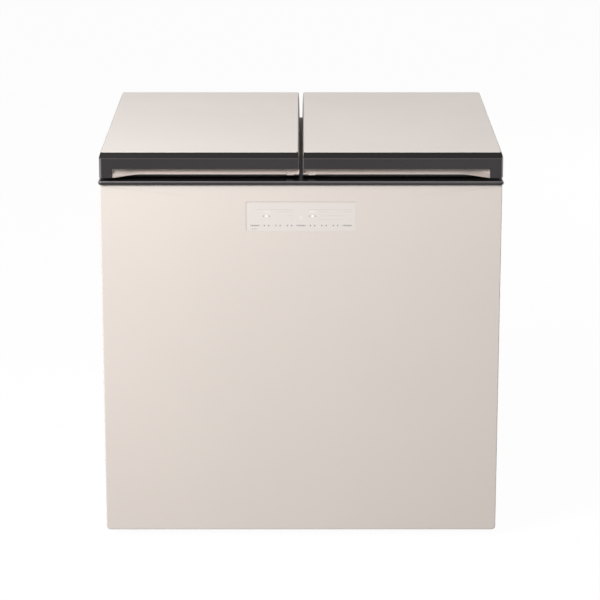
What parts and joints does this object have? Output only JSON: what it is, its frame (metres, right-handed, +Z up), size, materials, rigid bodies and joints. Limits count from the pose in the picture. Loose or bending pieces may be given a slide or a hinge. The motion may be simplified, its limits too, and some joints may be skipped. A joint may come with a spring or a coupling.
{
  "type": "kimchi refrigerator",
  "caption": "Chest-type kimchi refrigerator with top-opening lids, stepped insulated compartments, front display window and rear machine compartment.",
  "frame": {"origin": "on the floor, under the middle of the cabinet's bounding box", "axes": "+Z up, the front panel faces -Y, +X to the right seen from the front"},
  "size_m": [0.907, 0.721, 0.91],
  "materials": {
    "beige_steel": "satin",
    "beige_panel": "satin",
    "beige_grip": "satin",
    "charcoal": "satin",
    "zinc_steel": "zinc coated",
    "liner_metal": "embossed",
    "white_plastic": "satin",
    "lamp": "clear",
    "board": "lacquered",
    "copper": "drawn",
    "fin_metal": "rolled",
    "compressor_black": "painted black",
    "foam": "foamed",
    "rubber": "matt",
    "gasket": "matt",
    "container": "satin"
  },
  "bodies": {
    "cabinet": {"front_panel": "beige_steel", "side_panel_left": "beige_steel", "side_panel_right": "beige_steel", "back_panel": "zinc_steel", "base_frame": "zinc_steel", "machine_bulkhead": "zinc_steel", "machine_cover": "zinc_steel", "rear_screws": "zinc_steel", "cabinet_foam": "foam", "liner_left": "liner_metal", "liner_right": "liner_metal", "evaporator_left": "fin_metal", "evaporator_right": "fin_metal", "rim_frame": "charcoal", "display_window": "beige_panel", "display_lamps": "lamp", "display_board": "board", "display_housing": "white_plastic", "touch_pads": "zinc_steel", "hinge_brackets": "zinc_steel", "hinge_pins": "zinc_steel", "hinge_springs_left": "zinc_steel", "hinge_springs_right": "zinc_steel", "compressor": "compressor_black", "compressor_mounts": "rubber", "compressor_bolts": "zinc_steel", "relay_cover": "charcoal", "condenser_fins": "fin_metal", "condenser_tube": "copper", "fan_bracket": "charcoal", "fan_motor": "zinc_steel", "filter_drier": "copper", "refrigerant_lines": "copper", "main_board_box": "white_plastic", "power_bush": "charcoal", "roller_brackets": "zinc_steel", "roller_axles": "zinc_steel"},
    "lid_left": {"lid_panel_left": "beige_panel", "lid_frame_left": "charcoal", "lid_grip_left": "beige_grip", "lid_liner_left": "white_plastic", "lid_foam_left": "foam", "lid_gasket_left": "gasket", "hinge_arms_left": "zinc_steel"},
    "lid_right": {"lid_panel_right": "beige_panel", "lid_frame_right": "charcoal", "lid_grip_right": "beige_grip", "lid_liner_right": "white_plastic", "lid_foam_right": "foam", "lid_gasket_right": "gasket", "hinge_arms_right": "zinc_steel"},
    "container_left": {"tub_left": "container"},
    "container_right": {"tub_right": "container"},
    "container_lid_left": {"tub_lid_left": "container"},
    "container_lid_right": {"tub_lid_right": "container"},
    "fan": {"fan_blade": "white_plastic"},
    "rear_roller_left": {"roller_left": "charcoal"},
    "rear_roller_right": {"roller_right": "charcoal"},
    "foot_left": {"levelling_foot_left": "charcoal"},
    "foot_right": {"levelling_foot_right": "charcoal"}
  },
  "joints": [
    {"name": "lid_left_hinge", "type": "hinge", "parent": "cabinet", "child": "lid_left", "pos_m": [-0.213, 0.3535, 0.862], "axis": [-1, 0, 0], "range_deg": [0, 75], "stiffness_Nm_per_rad": 5, "springref_deg": 99.98, "deforming": ["hinge_springs_left"]},
    {"name": "lid_right_hinge", "type": "hinge", "parent": "cabinet", "child": "lid_right", "pos_m": [0.213, 0.3535, 0.862], "axis": [-1, 0, 0], "range_deg": [0, 75], "stiffness_Nm_per_rad": 5, "springref_deg": 99.98, "deforming": ["hinge_springs_right"]},
    {"name": "container_left_slide", "type": "slide", "parent": "cabinet", "child": "container_left", "axis": [0, 0, -1], "range_m": [-0.44, 0]},
    {"name": "container_right_slide", "type": "slide", "parent": "cabinet", "child": "container_right", "axis": [0, 0, -1], "range_m": [-0.44, 0]},
    {"name": "container_lid_left_slide", "type": "slide", "parent": "container_left", "child": "container_lid_left", "axis": [0, 0, -1], "range_m": [-0.03, 0]},
    {"name": "container_lid_right_slide", "type": "slide", "parent": "container_right", "child": "container_lid_right", "axis": [0, 0, -1], "range_m": [-0.03, 0]},
    {"name": "fan_spin", "type": "hinge", "parent": "cabinet", "child": "fan", "pos_m": [0.045, 0.2345, 0.144], "axis": [1, 0, 0], "continuous": true},
    {"name": "rear_roller_left_spin", "type": "hinge", "parent": "cabinet", "child": "rear_roller_left", "pos_m": [-0.378, 0.2835, 0.018], "axis": [1, 0, 0], "continuous": true},
    {"name": "rear_roller_right_spin", "type": "hinge", "parent": "cabinet", "child": "rear_roller_right", "pos_m": [0.378, 0.2835, 0.018], "axis": [1, 0, 0], "continuous": true},
    {"name": "foot_left_turn", "type": "hinge", "parent": "cabinet", "child": "foot_left", "pos_m": [-0.39, -0.2825, 0.02], "axis": [0, 0, 1], "continuous": true},
    {"name": "foot_right_turn", "type": "hinge", "parent": "cabinet", "child": "foot_right", "pos_m": [0.39, -0.2825, 0.02], "axis": [0, 0, 1], "continuous": true}
  ]
}
